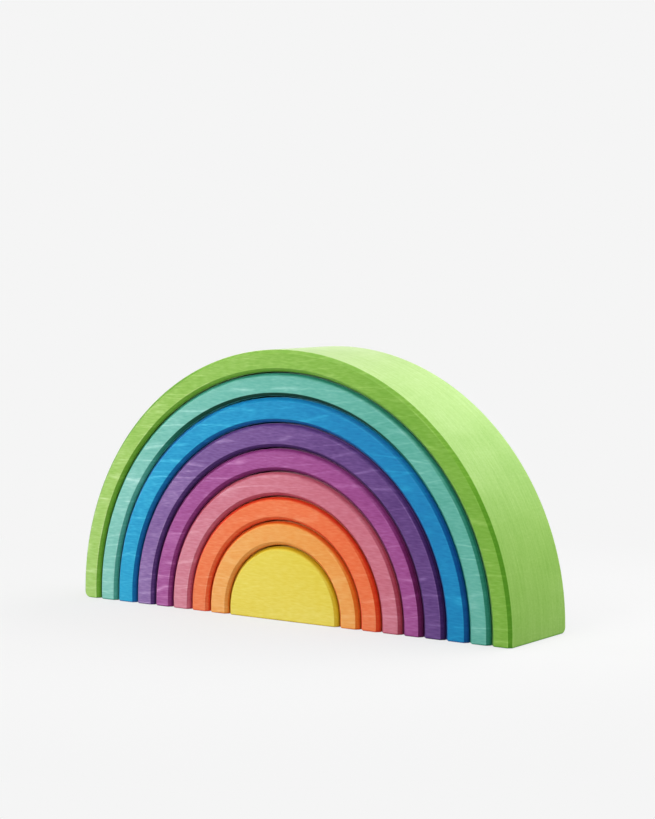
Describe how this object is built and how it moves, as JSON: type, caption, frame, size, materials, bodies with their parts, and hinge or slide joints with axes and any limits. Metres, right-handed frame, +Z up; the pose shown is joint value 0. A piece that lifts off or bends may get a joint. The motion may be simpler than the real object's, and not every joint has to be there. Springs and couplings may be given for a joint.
{
  "type": "rainbow stacker",
  "caption": "Wooden nesting rainbow toy: stained arches that stand one over the other on flat feet round a solid half disc, and lift off one by one for stacking and building.",
  "frame": {"origin": "centre of the rainbow's footprint, on the surface that it stands on", "axes": "+X across the rainbow, +Y from the front face to the back face, +Z up"},
  "size_m": [0.3092, 0.063, 0.1586],
  "materials": {
    "green_stain": "matt water stain, grain showing",
    "turquoise_stain": "matt water stain, grain showing",
    "blue_stain": "matt water stain, grain showing",
    "violet_stain": "matt water stain, grain showing",
    "purple_stain": "matt water stain, grain showing",
    "pink_stain": "matt water stain, grain showing",
    "orange_stain": "matt water stain, grain showing",
    "apricot_stain": "matt water stain, grain showing",
    "yellow_stain": "matt water stain, grain showing"
  },
  "bodies": {
    "green_arch": {"green_arch": "green_stain"},
    "turquoise_arch": {"turquoise_arch": "turquoise_stain"},
    "blue_arch": {"blue_arch": "blue_stain"},
    "violet_arch": {"violet_arch": "violet_stain"},
    "purple_arch": {"purple_arch": "purple_stain"},
    "pink_arch": {"pink_arch": "pink_stain"},
    "orange_arch": {"orange_arch": "orange_stain"},
    "apricot_arch": {"apricot_arch": "apricot_stain"},
    "yellow_core": {"yellow_core": "yellow_stain"}
  },
  "joints": [
    {"name": "apricot_arch_lift", "type": "slide", "parent": "yellow_core", "child": "apricot_arch", "axis": [0, 0, 1], "range_m": [0, 0.054]},
    {"name": "orange_arch_lift", "type": "slide", "parent": "apricot_arch", "child": "orange_arch", "axis": [0, 0, 1], "range_m": [0, 0.068]},
    {"name": "pink_arch_lift", "type": "slide", "parent": "orange_arch", "child": "pink_arch", "axis": [0, 0, 1], "range_m": [0, 0.082]},
    {"name": "purple_arch_lift", "type": "slide", "parent": "pink_arch", "child": "purple_arch", "axis": [0, 0, 1], "range_m": [0, 0.097]},
    {"name": "violet_arch_lift", "type": "slide", "parent": "purple_arch", "child": "violet_arch", "axis": [0, 0, 1], "range_m": [0, 0.111]},
    {"name": "blue_arch_lift", "type": "slide", "parent": "violet_arch", "child": "blue_arch", "axis": [0, 0, 1], "range_m": [0, 0.126]},
    {"name": "turquoise_arch_lift", "type": "slide", "parent": "blue_arch", "child": "turquoise_arch", "axis": [0, 0, 1], "range_m": [0, 0.141]},
    {"name": "green_arch_lift", "type": "slide", "parent": "turquoise_arch", "child": "green_arch", "axis": [0, 0, 1], "range_m": [0, 0.155]}
  ]
}
